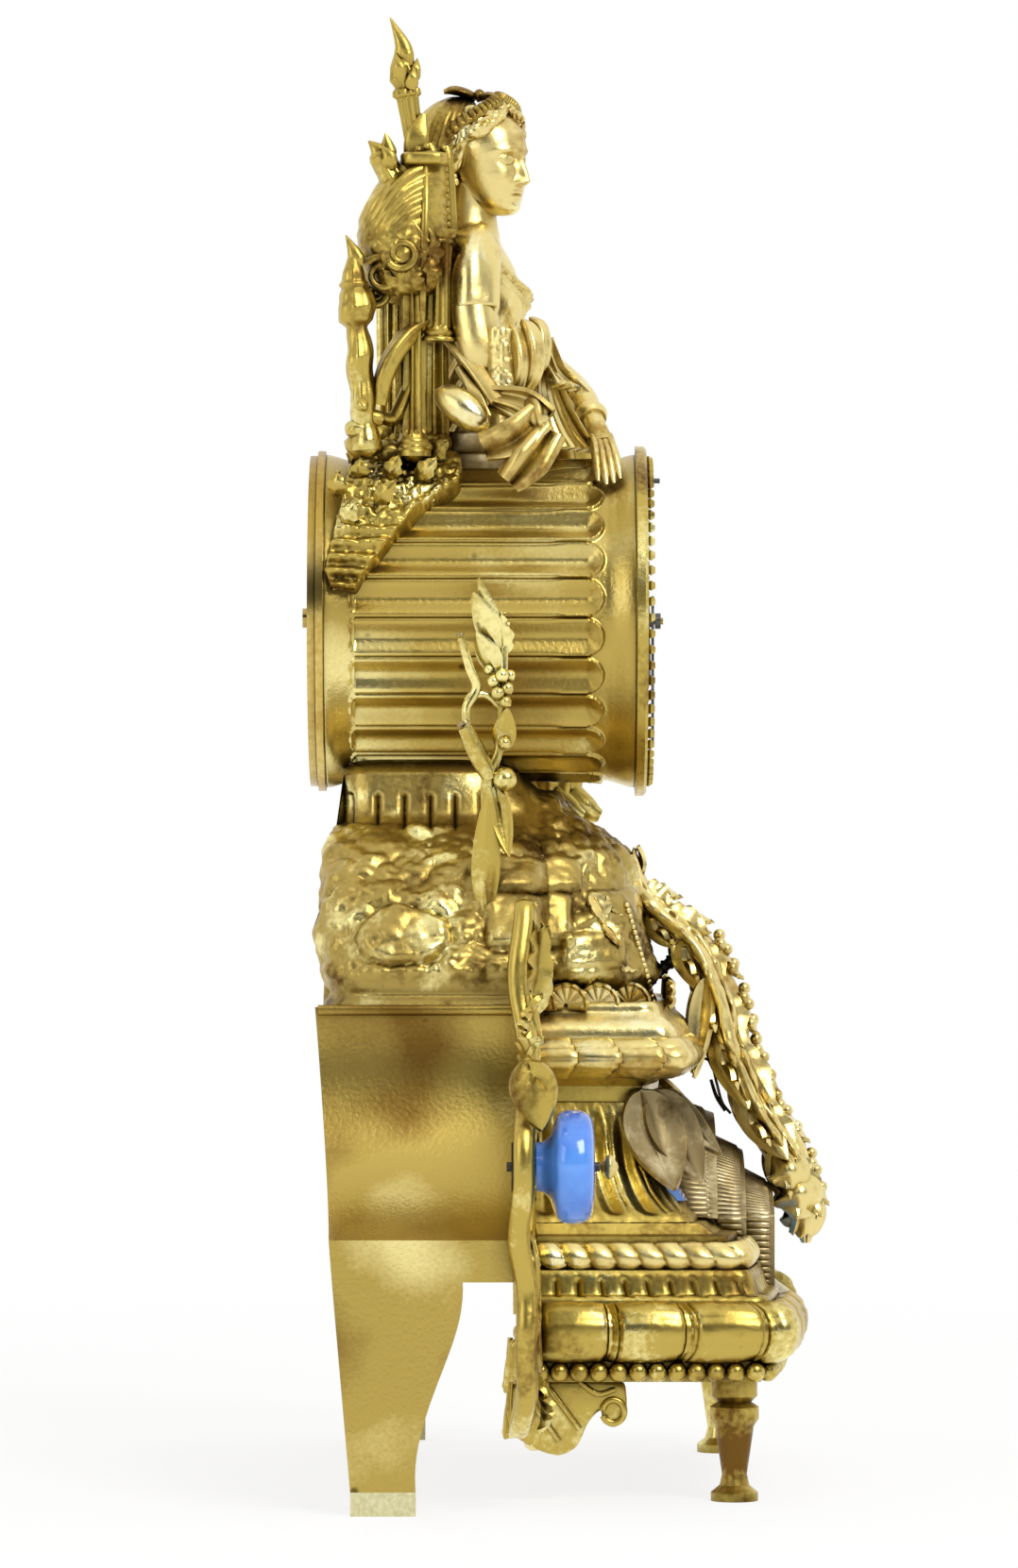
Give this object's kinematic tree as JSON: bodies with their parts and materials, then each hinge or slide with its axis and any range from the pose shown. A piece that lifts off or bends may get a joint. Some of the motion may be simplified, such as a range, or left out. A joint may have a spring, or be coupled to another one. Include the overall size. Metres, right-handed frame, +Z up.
{
  "type": "figural mantel clock",
  "caption": "Gilt mantel clock with a fluted drum case, a seated figure on top, a rockwork mound and a moulded base with porcelain; striking movement with hands, pendulum, bell and rear door.",
  "frame": {"origin": "on the floor, under the middle of the clock's box", "axes": "+Z up, -Y out of the dial, +X to the right as seen facing the dial"},
  "size_m": [0.3396, 0.185, 0.5123],
  "materials": {
    "gilt": "worn gilding over cast metal, brown patina in the hollows",
    "worn_gilt": "darkened ribbed gilding",
    "porcelain": "blue glaze",
    "steel": "dark oiled steel",
    "enamel": "white enamel with plain numerals",
    "brass": "polished movement brass",
    "pad": "pale pad under the rear legs"
  },
  "bodies": {
    "case": {"apron_drops": "gilt", "back_cock": "brass", "back_plate": "brass", "bell": "brass", "bezel_beads": "gilt", "cheeks": "gilt", "dial": "enamel", "drum_bolts": "steel", "drum_case": "gilt", "figure_arms": "gilt", "figure_body": "gilt", "figure_ground": "gilt", "figure_head": "gilt", "front_arch": "worn_gilt", "front_bezel": "gilt", "front_body": "gilt", "front_feet": "gilt", "front_plaque": "porcelain", "front_plate": "brass", "garland": "gilt", "garland_screw": "steel", "lap_sheets": "gilt", "leg_pads": "pad", "movement_straps": "steel", "plinth": "gilt", "porcelain_inlays": "porcelain", "porcelain_roundels": "porcelain", "rear_legs": "gilt", "rear_ring": "brass", "rock_mound": "gilt", "roundel_bolts": "steel", "roundel_knobs": "gilt", "sash": "gilt", "shrine_canopy": "gilt", "shrine_posts": "gilt", "shrine_torches": "gilt", "skirt": "gilt", "spray": "gilt", "wings": "gilt"},
    "hands": {"cannon_pinion": "brass", "minute_hand": "steel"},
    "minute_wheel": {"minute_wheel": "brass"},
    "hour_works": {"hour_wheel": "brass", "hour_hand": "steel"},
    "centre": {"centre_arbor": "brass", "hand_nut": "steel"},
    "third": {"third_arbor": "brass"},
    "escape": {"escape_arbor": "brass"},
    "going_barrel": {"going_barrel": "brass"},
    "strike_barrel": {"strike_barrel": "brass"},
    "pin": {"pin_arbor": "brass"},
    "going_winding": {"going_winding_arbor": "brass"},
    "strike_winding": {"strike_winding_arbor": "brass"},
    "anchor": {"anchor": "brass"},
    "pendulum": {"pendulum_rod": "brass", "pendulum_bob": "brass"},
    "hammer": {"hammer": "steel"},
    "regulator": {"regulator_arbor": "steel"},
    "door": {"rear_door": "brass"}
  },
  "joints": [
    {"name": "hands", "type": "hinge", "parent": "case", "child": "hands", "pos_m": [0, 0, 0.3015], "axis": [0, 1, 0], "continuous": true},
    {"name": "minute_wheel", "type": "hinge", "parent": "case", "child": "minute_wheel", "pos_m": [0, 0, 0.3135], "axis": [0, 1, 0], "continuous": true},
    {"name": "hour_hand", "type": "hinge", "parent": "case", "child": "hour_works", "pos_m": [0, 0, 0.3015], "axis": [0, 1, 0], "continuous": true},
    {"name": "third_arbor", "type": "hinge", "parent": "case", "child": "third", "pos_m": [-0.00493, 0, 0.31503], "axis": [0, 1, 0], "continuous": true},
    {"name": "centre_arbor", "type": "hinge", "parent": "case", "child": "centre", "pos_m": [0, 0, 0.3015], "axis": [0, 1, 0], "continuous": true},
    {"name": "escape_arbor", "type": "hinge", "parent": "case", "child": "escape", "pos_m": [0, 0, 0.32586], "axis": [0, 1, 0], "continuous": true},
    {"name": "going_barrel", "type": "hinge", "parent": "case", "child": "going_barrel", "pos_m": [-0.02093, 0, 0.29388], "axis": [0, 1, 0], "continuous": true},
    {"name": "strike_barrel", "type": "hinge", "parent": "case", "child": "strike_barrel", "pos_m": [0.02093, 0, 0.29388], "axis": [0, 1, 0], "continuous": true},
    {"name": "pin_arbor", "type": "hinge", "parent": "case", "child": "pin", "pos_m": [0.03035, 0, 0.31407], "axis": [0, 1, 0], "continuous": true},
    {"name": "going_winding", "type": "hinge", "parent": "case", "child": "going_winding", "pos_m": [-0.02093, 0, 0.29388], "axis": [0, 1, 0], "continuous": true},
    {"name": "strike_winding", "type": "hinge", "parent": "case", "child": "strike_winding", "pos_m": [0.02093, 0, 0.29388], "axis": [0, 1, 0], "continuous": true},
    {"name": "pendulum", "type": "hinge", "parent": "case", "child": "pendulum", "pos_m": [0, 0, 0.33836], "axis": [0, 1, 0], "range_deg": [-3, 3]},
    {"name": "anchor", "type": "hinge", "parent": "case", "child": "anchor", "pos_m": [0, 0, 0.33836], "axis": [0, 1, 0], "range_deg": [-3, 3]},
    {"name": "hammer", "type": "hinge", "parent": "case", "child": "hammer", "pos_m": [0.03996, 0, 0.30747], "axis": [0, 1, 0], "range_deg": [0, 18]},
    {"name": "regulator", "type": "hinge", "parent": "case", "child": "regulator", "pos_m": [0, 0, 0.351], "axis": [0, 1, 0], "continuous": true},
    {"name": "rear_door", "type": "hinge", "parent": "case", "child": "door", "pos_m": [0.062, 0.08855, 0.3015], "axis": [0, 0, -1], "range_deg": [0, 105]}
  ],
  "couplings": [
    {"joint": "minute_wheel", "follows": "hands", "ratio": -0.33333},
    {"joint": "hour_hand", "follows": "hands", "ratio": 0.083333},
    {"joint": "centre_arbor", "follows": "third_arbor", "ratio": -0.125},
    {"joint": "escape_arbor", "follows": "third_arbor", "ratio": -7.5},
    {"joint": "going_barrel", "follows": "third_arbor", "ratio": 0.015625},
    {"joint": "pin_arbor", "follows": "strike_barrel", "ratio": -8},
    {"joint": "anchor", "follows": "pendulum", "ratio": 1}
  ]
}
